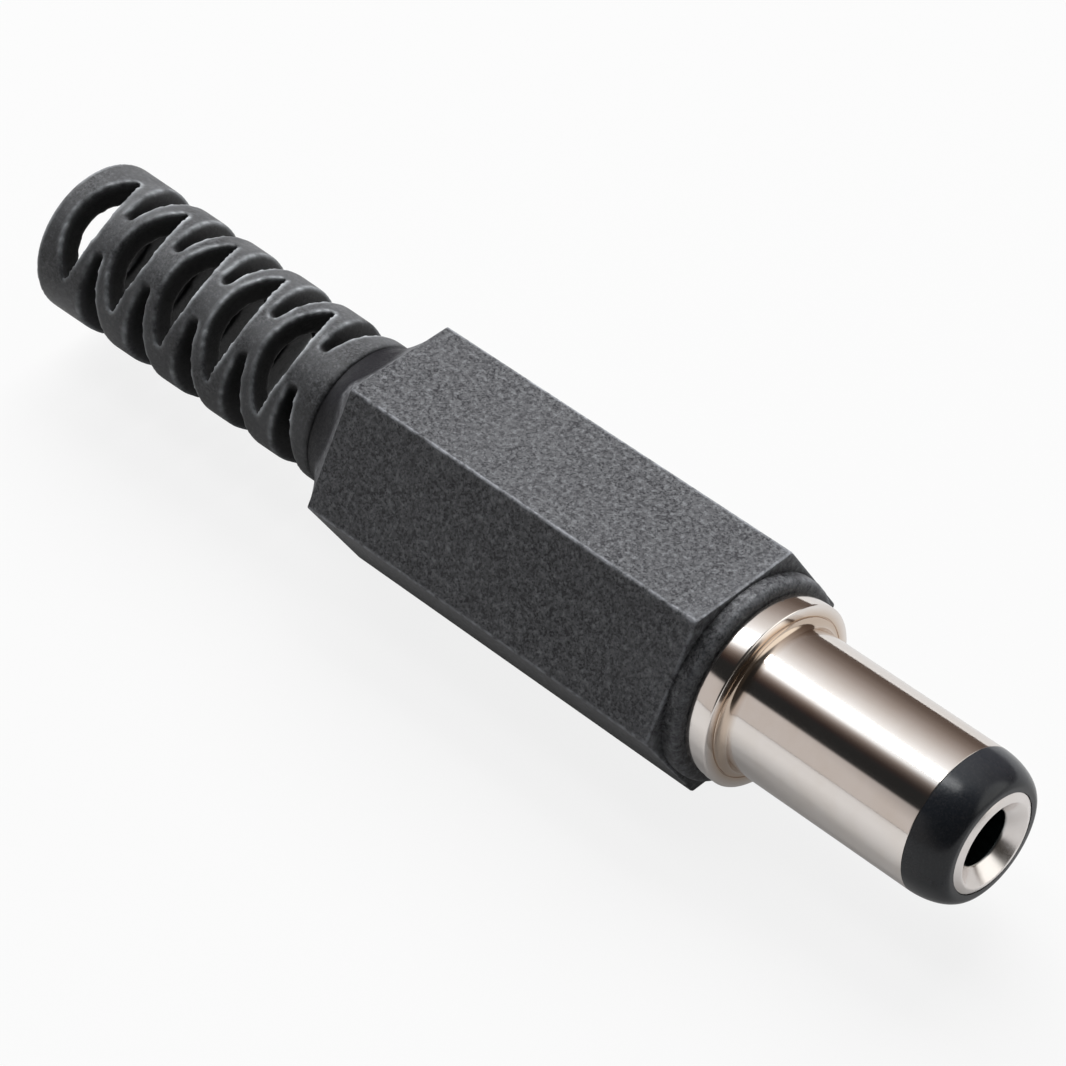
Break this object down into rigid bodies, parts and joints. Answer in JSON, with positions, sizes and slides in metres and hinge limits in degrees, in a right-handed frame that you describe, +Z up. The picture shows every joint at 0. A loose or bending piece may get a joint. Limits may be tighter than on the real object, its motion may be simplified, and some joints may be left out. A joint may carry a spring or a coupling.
{
  "type": "dc barrel plug",
  "caption": "Straight DC power plug for a cable: metal barrel with a centre contact, solder terminals, and a screw-on hexagonal cover with a slotted strain relief.",
  "frame": {"origin": "on the plug's axis, level with the front face of the flange", "axes": "+X along the axis towards the tip, +Z up from the lower flat of the grip, +Y to the side"},
  "size_m": [0.0438, 0.0092, 0.008],
  "materials": {
    "cover_plastic": "black moulded plastic with a fine satin grain",
    "sleeve_nickel": "turned brass with bright nickel plating",
    "nose_plastic": "black moulded plastic with a soft gloss",
    "contact_nickel": "brass tube with nickel plating",
    "washer_plastic": "pale insulating washer",
    "terminal_tin": "stamped brass sheet with tin plating"
  },
  "bodies": {
    "contact_set": {"sleeve": "sleeve_nickel", "nose_insulator": "nose_plastic", "centre_contact": "contact_nickel", "rear_insulator": "washer_plastic", "sleeve_terminal": "terminal_tin", "centre_terminal": "terminal_tin"},
    "cover": {"cover": "cover_plastic"}
  },
  "joints": [
    {"name": "cover_unscrew", "type": "slide", "parent": "contact_set", "child": "cover", "axis": [-1, 0, 0], "range_m": [0, 0.018]}
  ]
}
